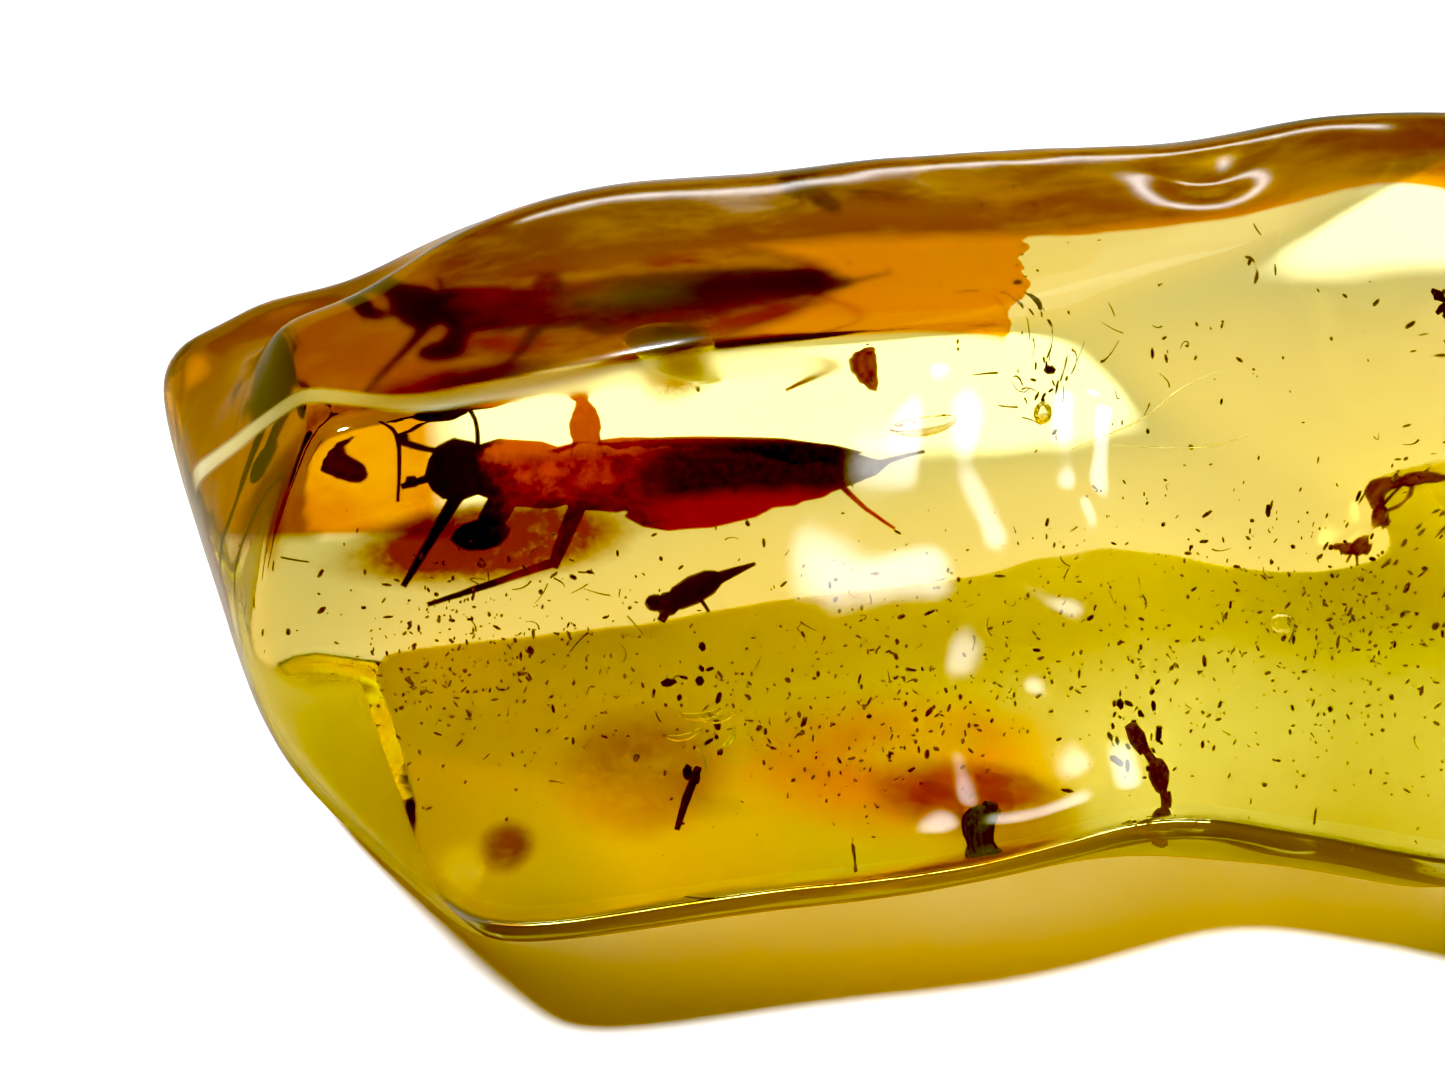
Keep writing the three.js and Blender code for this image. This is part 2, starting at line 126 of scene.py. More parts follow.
class NodeKit:
    """Builds one material's nodes."""

    def __init__(self, name: str) -> None:
        """Starts an empty material.

        Args:
            name: the material's name.
        """
        self.material = bpy.data.materials.new(name)
        self.material.use_nodes = True
        self.tree = self.material.node_tree
        self.tree.nodes.clear()
        self.output = self.node("ShaderNodeOutputMaterial")

    def node(self, kind: str, settings: dict | None = None, sockets: dict | None = None) -> Any:
        """Adds one node.

        Args:
            kind: the node's type.
            settings: properties that are set before the sockets.
            sockets: values, fields or output sockets for the node's inputs.

        Returns:
            The node.
        """
        made = self.tree.nodes.new(kind)
        for key, value in (settings or {}).items():
            setattr(made, key, value)
        for key, value in (sockets or {}).items():
            self.feed(made.inputs[key], value)
        return made

    def feed(self, socket: Any, value: Any) -> None:
        """Links or sets one input socket.

        Args:
            socket: the input socket.
            value: a field, an output socket, a number or a tuple.
        """
        if isinstance(value, Field):
            value = value.socket
        if isinstance(value, bpy.types.NodeSocket):
            self.tree.links.new(value, socket)
        else:
            socket.default_value = value

    def maths(self, operation: str, first: Any, second: Any = 0.0) -> Field:
        """One Math node.

        Args:
            operation: its operation.
            first: its first value.
            second: its second value.

        Returns:
            Its result.
        """
        made = self.node("ShaderNodeMath", {"operation": operation}, {0: first, 1: second})
        return Field(self, made.outputs[0])

    def place(self) -> Any:
        """The Object coordinates' socket."""
        return self.node("ShaderNodeTexCoord").outputs["Object"]

    def axis(self, letter: str) -> Field:
        """One of the Object coordinates, in millimetres.

        Args:
            letter: X, Y or Z.

        Returns:
            The coordinate.
        """
        parts = self.node("ShaderNodeSeparateXYZ", None, {0: self.place()})
        return Field(self, parts.outputs[letter]) * (1.0 / MM)

    def cloud(self, size: float, detail: float = 3.0, roughness: float = 0.55,
              stretch: Place = (1.0, 1.0, 1.0)) -> Field:
        """Soft noise from 0 to 1.

        Args:
            size: the size of its blobs in millimetres.
            detail: the noise's detail.
            roughness: the weight of its finer layers.
            stretch: how much wider the blobs are along each axis.

        Returns:
            The noise.
        """
        scale = tuple(1.0 / (size * MM * wider) for wider in stretch)
        mapped = self.node("ShaderNodeMapping", None, {"Vector": self.place(), "Scale": scale})
        made = self.node("ShaderNodeTexNoise", None, {
            "Vector": mapped.outputs[0], "Scale": 1.0, "Detail": detail, "Roughness": roughness})
        return Field(self, made.outputs["Fac"])

    def light(self, output: str) -> Field:
        """What a light path has met: scattering or a mirror.

        Args:
            output: the Light Path node's output.

        Returns:
            Its value.
        """
        return Field(self, self.node("ShaderNodeLightPath").outputs[output])

    def cells(self, size: float) -> Field:
        """Distance to the nearest cell's middle in a cell pattern.

        Args:
            size: the size of the cells in millimetres.

        Returns:
            The distance.
        """
        made = self.node("ShaderNodeTexVoronoi", None, {
            "Vector": self.place(), "Scale": 1.0 / (size * MM)})
        return Field(self, made.outputs["Distance"])

    def step(self, value: Field, low: float, high: float) -> Field:
        """A smooth step.

        Args:
            value: the field to read.
            low: where the step starts.
            high: where it ends, which may be below `low`.

        Returns:
            0 before the step and 1 after it.
        """
        made = self.node("ShaderNodeMapRange", {"interpolation_type": "SMOOTHSTEP"}, {
            "Value": value, "From Min": low, "From Max": high})
        return Field(self, made.outputs[0])

    def blend(self, factor: Any, first: Any, second: Any) -> Any:
        """A mix of two colours.

        Args:
            factor: the share of the second colour.
            first: the first colour.
            second: the second colour.

        Returns:
            The colour socket.
        """
        made = self.node("ShaderNodeMix", {"data_type": "RGBA"}, {0: factor})
        self.feed(made.inputs[6], (*first, 1.0) if isinstance(first, tuple) else first)
        self.feed(made.inputs[7], (*second, 1.0) if isinstance(second, tuple) else second)
        return made.outputs[2]

    def bump(self, height: Field, strength: float, distance: float) -> Any:
        """A bump from a height field.

        Args:
            height: the height, 0 to 1.
            strength: the bump's strength.
            distance: its full height in millimetres.

        Returns:
            The normal socket.
        """
        made = self.node("ShaderNodeBump", None, {
            "Strength": strength, "Distance": distance * MM, "Height": height})
        return made.outputs[0]

    def principled(self, sockets: dict) -> bpy.types.Material:
        """Closes the material with a Principled shader.

        Args:
            sockets: values or links of its sockets; a tuple of three is a colour.

        Returns:
            The material.
        """
        full = {key: (*value, 1.0) if isinstance(value, tuple) and len(value) == 3 else value
                for key, value in sockets.items()}
        shader = self.node("ShaderNodeBsdfPrincipled", None, full)
        self.tree.links.new(shader.outputs[0], self.output.inputs["Surface"])
        return self.material


class SkyKit(NodeKit):
    """Builds the nodes of the light that surrounds the scene."""

    def __init__(self, world: bpy.types.World) -> None:
        """Starts an empty world.

        Args:
            world: the world to fill.
        """
        world.use_nodes = True
        self.tree = world.node_tree
        self.tree.nodes.clear()
        self.output = self.node("ShaderNodeOutputWorld")

    def glow(self, away: Vector, inner: float, outer: float) -> Field:
        """A soft round window in the sky.

        Args:
            away: the direction to its middle.
            inner: the angle in degrees up to which it is evenly bright.
            outer: the angle at which it ends.

        Returns:
            1 in the window and 0 outside.
        """
        made = self.node("ShaderNodeVectorMath", {"operation": "DOT_PRODUCT"}, {
            0: self.node("ShaderNodeTexCoord").outputs["Generated"], 1: tuple(away)})
        near, far = (math.cos(math.radians(angle)) for angle in (inner, outer))
        return self.step(Field(self, made.outputs["Value"]), far, near)


# ---- finishes ----------------------------------------------------------------------------


@dataclass(frozen=True)
class Skin:
    """Where a point of the nugget's skin lies, in millimetres, and the noise on it."""

    kit: NodeKit
    x: Field
    y: Field
    z: Field
    wander: Field
    mottle: Field

    @classmethod
    def of(cls, kit: NodeKit) -> "Skin":
        """Reads the skin's coordinates and noise.

        Args:
            kit: the material's node kit.

        Returns:
            The skin.
        """
        x, y, z = kit.axis("X"), kit.axis("Y"), kit.axis("Z")
        wander = kit.cloud(5.0, 4.0, 0.6, (2.2, 1.0, 1.0)) * 1.4 - 0.7
        mottle = kit.step(kit.cloud(2.4, 4.0, 0.6, (1.8, 1.0, 1.0)), 0.42, 0.7)
        return cls(kit, x, y, z, wander, mottle)


@dataclass(frozen=True)
class CopalFinish:
    """Clear honey-yellow resin with a ground, matt base. Its skin is tinted: an oxidised rind that
    is partly painted shade, a painted image of the cricket on the top, and a golden tint on the
    nose.

    Each span is the pair of places, in millimetres, between which a border fades.
    """

    absorption: Colour = (0.001, 0.0035, 0.05)
    brown: Colour = (0.075, 0.009, 0.0)
    orange: Colour = (0.66, 0.12, 0.0)
    maroon: Colour = (0.075, 0.001, 0.0)
    gold: Colour = (0.22, 0.03, 0.0)
    olive: Colour = (0.25, 0.08, 0.0)
    pale: Colour = (0.50, 0.17, 0.0)
    cream: Colour = (1.0, 0.98, 0.85)
    polish: float = 0.03
    ground: float = 0.42
    ridge_y: float = -3.2
    ridge_curl: float = 0.11
    curl_from: float = 20.2
    ridge_width: Span = (0.5, 0.2)
    ridge_height: Span = (8.0, 10.0)
    ridge_end: Span = (-8.5, -12.0)
    crust_and_shade_lip: Span = (0.3, 0.55)
    crust_and_shade_height: Span = (9.0, 12.0)
    crust_and_shade_end: Span = (-4.2, -2.0)
    crust_and_shade_retreat: float = 5.0
    back: Span = (9.0, 10.5)
    back_clear: Span = (-11.5, -9.0)
    orange_from: Span = (-13.5, -10.5)
    far_side: Span = (2.0, 3.2)
    painted_image_at: Span = (-14.4, 0.3)
    painted_image_half: Span = (5.9, 3.3)
    painted_image_rim: Span = (1.1, 0.75)
    nose_end: Span = (-19.6, -21.2)
    nose_height: Span = (5.0, 8.0)
    nose_slant: Span = (6.7, 7.3)
    brink_at: Span = (-23.5, 10.9)
    brink_lean: float = 0.31
    brink_rim: Span = (0.12, -0.12)
    abraded_top: Span = (11.3, 10.6)
    abraded_side: Span = (-3.0, -5.0)
    base_height: Span = (0.02, 0.0)

    def ridge(self, skin: Skin) -> Field:
        """How far a point lies behind the ridge line between the front and the top.

        Args:
            skin: the skin's fields.

        Returns:
            The distance in millimetres, below 0 before the line.
        """
        ahead = skin.kit.maths("MAXIMUM", skin.x * -1.0 - self.curl_from, 0.0)
        return skin.y - (ahead * ahead * self.ridge_curl + self.ridge_y)

    def worn_ridge(self, skin: Skin, ridge: Field) -> Field:
        """The pale, worn line along the ridge.

        Args:
            skin: the skin's fields.
            ridge: the distance behind the ridge line.

        Returns:
            1 on the line and 0 off it.
        """
        kit = skin.kit
        line = kit.step(kit.maths("ABSOLUTE", ridge), *self.ridge_width)
        line = line * kit.step(skin.z, *self.ridge_height)
        return line * kit.step(skin.x + skin.wander, *self.ridge_end)

    def crust_and_shade(self, skin: Skin, ridge: Field, behind: Field) -> Field:
        """The oxidised rind on the top, partly painted shade that stands for the shaded floor
        under the nugget seen through the top; left clear on part of the back.

        Args:
            skin: the skin's fields.
            ridge: the distance behind the ridge line.
            behind: 1 on the back.

        Returns:
            1 on the rind and its painted shade, 0 on clear resin.
        """
        kit = skin.kit
        right = kit.step(skin.x + skin.wander * 3.5, *self.crust_and_shade_end)
        lip = ridge - right * (self.crust_and_shade_retreat + skin.wander)
        crust_and_shade = kit.step(lip, *self.crust_and_shade_lip) * kit.step(skin.z, *self.crust_and_shade_height)
        return crust_and_shade * (1.0 - behind * kit.step(skin.x + skin.wander * 3.0, *self.back_clear))

    def crust_and_shade_colour(self, skin: Skin, behind: Field) -> Any:
        """The tint of the rind and its painted shade: brown to orange, a painted maroon image of
        the cricket, olive behind, mottled.

        Args:
            skin: the skin's fields.
            behind: 1 on the back.

        Returns:
            The colour socket.
        """
        kit, wander = skin.kit, skin.wander
        # Painted image: a maroon patch on the top where the cricket's refracted image shows
        # through.
        along = (skin.x - self.painted_image_at[0]) * (1.0 / self.painted_image_half[0])
        across = (skin.y - self.painted_image_at[1]) * (1.0 / self.painted_image_half[1])
        painted_image = kit.step(along * along + across * across + wander * 0.5, *self.painted_image_rim)
        turning = kit.step(skin.x + wander * 2.0, *self.orange_from)
        colour = kit.blend(turning, self.brown, self.orange)
        colour = kit.blend(painted_image, colour, self.maroon)
        colour = kit.blend(kit.step(skin.y + wander, *self.far_side), colour, self.brown)
        colour = kit.blend(behind, colour, self.olive)
        return kit.blend(skin.mottle * 0.35, colour, self.pale)

    def nose(self, skin: Skin) -> Field:
        """The golden tint on the nose, above the inclusions' layer.

        Args:
            skin: the skin's fields.

        Returns:
            1 on the tint and 0 off it.
        """
        kit = skin.kit
        nose_tint = kit.step(skin.x + skin.wander, *self.nose_end)
        nose_tint = nose_tint * kit.step(skin.z, *self.nose_height)
        return nose_tint * kit.step(skin.z + skin.y * 0.88 + skin.x * 0.1, *self.nose_slant)

    def abraded(self, skin: Skin) -> Field:
        """The matt facet below the nose.

        Args:
            skin: the skin's fields.

        Returns:
            1 on the facet and 0 off it.
        """
        kit = skin.kit
        brink = skin.x - self.brink_at[0] + (skin.z - self.brink_at[1]) * self.brink_lean
        facet = kit.step(brink, *self.brink_rim) * kit.step(skin.z, *self.abraded_top)
        return facet * kit.step(skin.y, *self.abraded_side)

    def fill(self, kit: NodeKit) -> None:
        """Tints the resin's inside by absorption.

        Args:
            kit: the material's node kit.
        """
        density = max(self.absorption)
        tint = tuple(1.0 - part / density for part in self.absorption)
        depth = kit.node("ShaderNodeVolumeAbsorption", None, {
            "Color": (*tint, 1.0), "Density": density / MM})
        kit.tree.links.new(depth.outputs[0], kit.output.inputs["Volume"])

    def material(self) -> bpy.types.Material:
        """The resin's material.

        Returns:
            The material.
        """
        kit = NodeKit("copal_resin")
        skin = Skin.of(kit)
        ridge = self.ridge(skin)
        line = self.worn_ridge(skin, ridge)
        behind = kit.step(skin.y + skin.wander, *self.back)
        # Painted shade: the rind's tint also stands for the shaded floor seen through the top.
        crust_and_shade = self.crust_and_shade(skin, ridge, behind)
        colour = kit.blend(crust_and_shade, WHITE, self.crust_and_shade_colour(skin, behind))
        nose_tint = kit.blend(skin.mottle * 0.3, self.gold, self.pale)
        colour = kit.blend(self.nose(skin), colour, nose_tint)
        colour = kit.blend(line, colour, self.cream)
        matt = kit.step(skin.z, *self.base_height) + self.abraded(skin) * 1.4
        worn = kit.cloud(0.9, 5.0, 0.7)
        rough = matt * self.ground + self.polish + worn * 0.04 + crust_and_shade * 0.09 + line * 0.4
        waves = kit.cloud(3.2, 2.0, 0.4, (1.6, 1.0, 1.0))
        scratches = kit.cloud(0.22, 6.0, 0.7, (9.0, 1.0, 1.0))
        self.fill(kit)
        return kit.principled({
            "Base Color": colour, "Roughness": rough, "IOR": RESIN_IOR,
            "Transmission Weight": 1.0,
            "Normal": kit.bump(waves + scratches * 0.012, 0.35, 0.06)})


@dataclass(frozen=True)
class HollowFinish:
    """The silvery inner surface of air sealed in the resin."""

    dust: Colour = (0.75, 0.62, 0.35)
    roughness: float = 0.02

    def material(self) -> bpy.types.Material:
        """The air pocket's material.

        Returns:
            The material.
        """
        kit = NodeKit("sealed_air")
        grime = kit.cloud(0.3, 4.0)
        return kit.principled({
            "Base Color": kit.blend(kit.step(grime, 0.62, 0.8) * 0.5, WHITE, self.dust),
            "Roughness": self.roughness, "IOR": 1.0 / RESIN_IOR,
            "Transmission Weight": 1.0, "Normal": kit.bump(grime, 0.15, 0.02)})


@dataclass(frozen=True)
class CuticleFinish:
    """Insect cuticle: mottled colour, fine pits and a weak gloss; `clear` lets light through."""

    name: str
    dark: Colour
    light: Colour
    mottle: float = 0.6
    clear: float = 0.0
    roughness: float = 0.42
    gloss: float = 0.25
    pit: float = 0.09

    def material(self) -> bpy.types.Material:
        """The cuticle's material.

        Returns:
            The material.
        """
        kit = NodeKit(self.name)
        patches = kit.cloud(self.mottle, 4.0, 0.65)
        colour = kit.blend(kit.step(patches, 0.38, 0.68), self.dark, self.light)
        return kit.principled({
            "Base Color": colour, "Roughness": self.roughness + patches * 0.15,
            "IOR": TISSUE_IOR if self.clear else 1.5, "Transmission Weight": self.clear,
            "Specular IOR Level": 0.4, "Coat Weight": self.gloss,
            "Normal": kit.bump(kit.cells(self.pit) + patches, 0.5, 0.04)})


@dataclass(frozen=True)
class CricketFinish:
    """Cricket cuticle: black head, red-brown mottled thorax, maroon abdomen, red below."""

    head: tuple[Colour, Colour] = ((0.006, 0.003, 0.002), (0.03, 0.012, 0.006))
    thorax: tuple[Colour, Colour] = ((0.15, 0.004, 0.0), (0.72, 0.11, 0.004))
    abdomen: tuple[Colour, Colour] = ((0.03, 0.002, 0.001), (0.12, 0.008, 0.002))
    belly: Colour = (0.80, 0.05, 0.002)
    limb: Colour = (0.75, 0.17, 0.01)
    neck_at: Span = (-19.05, -18.35)
    waist_at: Span = (-14.95, -13.35)
    belly_below: Span = (7.85, 7.3)
    back_line: float = 7.4
    limb_off: Span = (1.5, 2.1)
    lean: Span = (0.64, 0.76)
    clear: float = 0.6

    def material(self) -> bpy.types.Material:
        """The cricket's material.

        Returns:
            The material.
        """
        kit = NodeKit("cricket_cuticle")
        patches = kit.cloud(0.8, 5.0, 0.65)
        fine = kit.cloud(0.22, 4.0, 0.6)
        jitter = patches * 1.6 - 0.8
        along = kit.axis("X") + jitter
        height = kit.axis("Z") * self.lean[1] + kit.axis("Y") * self.lean[0]
        behind_neck = kit.step(along, *self.neck_at)
        below = kit.step(height + jitter * 0.4, *self.belly_below)
        red = kit.blend(kit.step(patches, 0.38, 0.62), *self.thorax)
        maroon = kit.blend(kit.step(fine, 0.35, 0.7), *self.abdomen)
        colour = kit.blend(behind_neck, kit.blend(fine, *self.head), red)
        colour = kit.blend(kit.step(along, *self.waist_at), colour,
                           kit.blend(below, maroon, self.belly))
        away = kit.maths("ABSOLUTE", height - self.back_line)
        colour = kit.blend(kit.step(away, *self.limb_off) * behind_neck, colour, self.limb)
        return kit.principled({
            "Base Color": colour, "Roughness": 0.38 + fine * 0.2,
            "IOR": TISSUE_IOR, "Transmission Weight": self.clear,
            "Normal": kit.bump(kit.cells(0.1) + fine, 0.5, 0.05)})


@dataclass(frozen=True)
class ScrapFinish:
    """Dry plant matter: fibrous, cracked and matt."""

    name: str
    dark: Colour
    light: Colour

    def material(self) -> bpy.types.Material:
        """The scrap's material.

        Returns:
            The material.
        """
        kit = NodeKit(self.name)
        fibres = kit.cloud(0.12, 5.0, 0.7, (1.0, 1.0, 5.0))
        grit = kit.cloud(0.35, 4.0, 0.6)
        colour = kit.blend(kit.step(fibres * 0.6 + grit * 0.4, 0.38, 0.62), self.dark, self.light)
        return kit.principled({
            "Base Color": colour, "Roughness": 0.75 + grit * 0.2,
            "Normal": kit.bump(fibres + kit.cells(0.15), 0.7, 0.05)})


@dataclass(frozen=True)
class StainFinish:
    """A tinted cloud in the resin that lets light through and fades out to its edges."""

    name: str
    middle: Vector
    turn: Matrix
    half: Span
    colour: Colour
    cover: float
    size: float

    def along(self, kit: NodeKit, side: int) -> Field:
        """How far a point lies along one axis of the sheet, from -1 to 1.

        Args:
            kit: the material's node kit.
            side: 0 for the sheet's length and 1 for its width.

        Returns:
            The coordinate.
        """
        axis = self.turn.col[side]
        total = 0.0 - self.middle.dot(axis)
        for letter, part in zip("XYZ", axis):
            total = kit.axis(letter) * part + total
        return total * (1.0 / self.half[side])

    def material(self) -> bpy.types.Material:
        """The stain's material.

        Returns:
            The material.
        """
        kit = NodeKit(self.name)
        length, width = self.along(kit, 0), self.along(kit, 1)
        patches = kit.cloud(self.size, 5.0, 0.65, (1.8, 1.0, 1.0))
        fine = kit.cloud(self.size * 0.2, 4.0, 0.6)
        inside = kit.step(length * length + width * width + patches * 0.9, 1.3, 0.4)
        strength = 0.3 + 0.7 * kit.step(patches + fine * 0.3, 0.42, 0.8)
        mask = (inside * strength * self.cover).clamped()
        return kit.principled({
            "Base Color": kit.blend(mask, WHITE, self.colour),
            "Roughness": 0.0, "IOR": 1.001, "Transmission Weight": 1.0})


@dataclass(frozen=True)
class FloorFinish:
    """Plain white board with a painted honey glow: emission around the resin that stands for the
    light the resin throws into its own shade.

    `hush` and `filter` dim the board for scattered light and in mirrors, so that the shade
    stays deep and the polished resin doesn't turn milky.
    """

    tone: float = 0.88
    honey: Colour = (1.0, 0.44, 0.0)
    glow: float = 0.3
    rim: float = 0.3
    pool: Span = (34.0, 18.5)
    pool_edge: Span = (0.8, 0.58)
    pool_end: Span = (2.2, 1.3)
    hush: float = 0.92
    filter: float = 0.7

    def material(self) -> bpy.types.Material:
        """The floor's material.

        Returns:
            The material.
        """
        kit = NodeKit("white_board")
        grain = kit.cloud(2.0, 4.0)
        tone = (self.tone,) * 3
        shade = (self.tone * 0.98,) * 3
        x, y = (kit.axis(letter) * (1.0 / half) for letter, half in zip("XY", self.pool))
        reach = kit.maths("SQRT", x * x + y * y)
        mirrored = kit.light("Is Reflection Ray") * self.filter
        seen = 1.0 - (kit.light("Diffuse Depth") * self.hush + mirrored).clamped()
        near = kit.step(reach, *self.pool_edge) * (1.0 - self.rim) + self.rim
        far = kit.step(reach, *self.pool_end)
        # Painted light: a honey glow in the board's emission, strongest near the resin, in place
        # of its caustic light.
        warm = near * far * (0.9 + 0.2 * kit.cloud(6.0, 2.0)) * self.glow
        return kit.principled({
            "Base Color": kit.blend(seen, BLACK, kit.blend(grain, tone, shade)),
            "Roughness": 0.6, "Specular IOR Level": 0.2, "Emission Strength": 1.0,
            "Emission Color": kit.blend(warm, BLACK, self.honey)})


# ---- mesh and placement helpers ----------------------------------------------------------


def finish_mesh(name: str, mesh_data: bmesh.types.BMesh, material: bpy.types.Material,
                smooth: bool = True) -> bpy.types.Object:
    """Turns a bmesh in millimetres into a piece of the object.

    Args:
        name: the piece's name.
        mesh_data: its shape in millimetres, freed here.
        material: its material.
        smooth: whether its faces are shaded smooth.

    Returns:
        The piece.
    """
    bmesh.ops.scale(mesh_data, vec=(MM, MM, MM), verts=mesh_data.verts)
    for face in mesh_data.faces:
        face.smooth = smooth and face.smooth
    mesh = bpy.data.meshes.new(name)
    mesh_data.to_mesh(mesh)
    mesh_data.free()
    piece = bpy.data.objects.new(name, mesh)
    bpy.context.scene.collection.objects.link(piece)
    mesh.materials.append(material)
    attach(piece, BODY)
    LOG.info("%s: %d faces", name, len(mesh.polygons))
    return piece


def towards(azimuth: float, elevation: float) -> Vector:
    """Unit direction from an azimuth and an elevation.

    Args:
        azimuth: the turn from +X towards +Y in degrees.
        elevation: the height above the horizon in degrees.

    Returns:
        The direction.
    """
    a, e = math.radians(azimuth), math.radians(elevation)
    return Vector((math.cos(a) * math.cos(e), math.sin(a) * math.cos(e), math.sin(e)))


def pose(at: Vector, turn: Euler, size: Sequence[float]) -> Matrix:
    """A placement matrix.

    Args:
        at: the place in millimetres.
        turn: the turn.
        size: the scale along each axis.

    Returns:
        The matrix.
    """
    return Matrix.LocRotScale(at, turn, Vector(size))


def any_turn(dice: random.Random) -> Euler:
    """A random turn about all three axes.

    Args:
        dice: the source of chance.

    Returns:
        The turn.
    """
    return Euler([dice.uniform(-math.pi, math.pi) for _ in range(3)])


# ---- the nugget --------------------------------------------------------------------------


@dataclass(frozen=True)
class Facet:
    """A ground facet: its outward direction in degrees and distance in millimetres."""

    azimuth: float
    elevation: float
    distance: float

    def normal(self) -> Vector:
        """Its outward unit normal."""
        return towards(self.azimuth, self.elevation)


@dataclass(frozen=True)
class Hollow:
    """A shallow hollow in the skin, in millimetres."""

    at: Place
    radius: float
    depth: float


FACETS = {
    "front": Facet(-90, 38, 6.8),
    "top": Facet(90, 82, 6.8),
    "back_top": Facet(90, 52, 8.7),
    "back": Facet(90, 10, 11.8),
    "bottom": Facet(-90, -90, 8.6),
    "front_under": Facet(-90, -36, 11.2),
    "back_under": Facet(90, -41, 9.5),
    "left": Facet(190, -6, 25.65),
    "left_front_low": Facet(-141.5, -26, 21.6),
    "left_under": Facet(188, -72, 14.35),
    "left_top": Facet(180, 38, 22.3),
    "right": Facet(0, 8, 28.8),
    "right_front": Facet(-45, 8, 23.5),
    "right_back": Facet(50, 14, 22.5),
    "right_top": Facet(10, 58, 17.5),
    "right_upper": Facet(-60, 62, 6.95),
}

HOLLOWS = (
    Hollow((-6.5, -5.8, 10.9), 3.6, 0.45),
    Hollow((0.4, -3.6, 12.8), 4.2, 0.5),
    Hollow((4.2, -6.4, 10.2), 3.8, 0.45),
    Hollow((-3.4, -7.4, 8.4), 2.6, 0.3),
    Hollow((5.2, 6.8, 16.0), 1.9, 0.6),
    Hollow((-23.4, -3.0, 11.5), 3.0, 0.35),
    Hollow((1.6, -9.8, 5.0), 3.2, 0.45),
    Hollow((-13.5, -7.8, 8.2), 3.6, 0.3),
    Hollow((-9.0, 9.0, 14.5), 4.0, 0.35),
    Hollow((-4.0, 13.0, 9.5), 5.0, 0.55),
    Hollow((11.0, 12.5, 8.0), 5.5, 0.6),
    Hollow((16.0, -6.5, 11.0), 4.5, 0.5),
    Hollow((22.0, 3.0, 15.0), 4.0, 0.45),
    Hollow((-14.0, 11.5, 6.5), 4.5, 0.45),
    Hollow((-23.0, 9.3, 13.0), 4.2, 3.1),
)


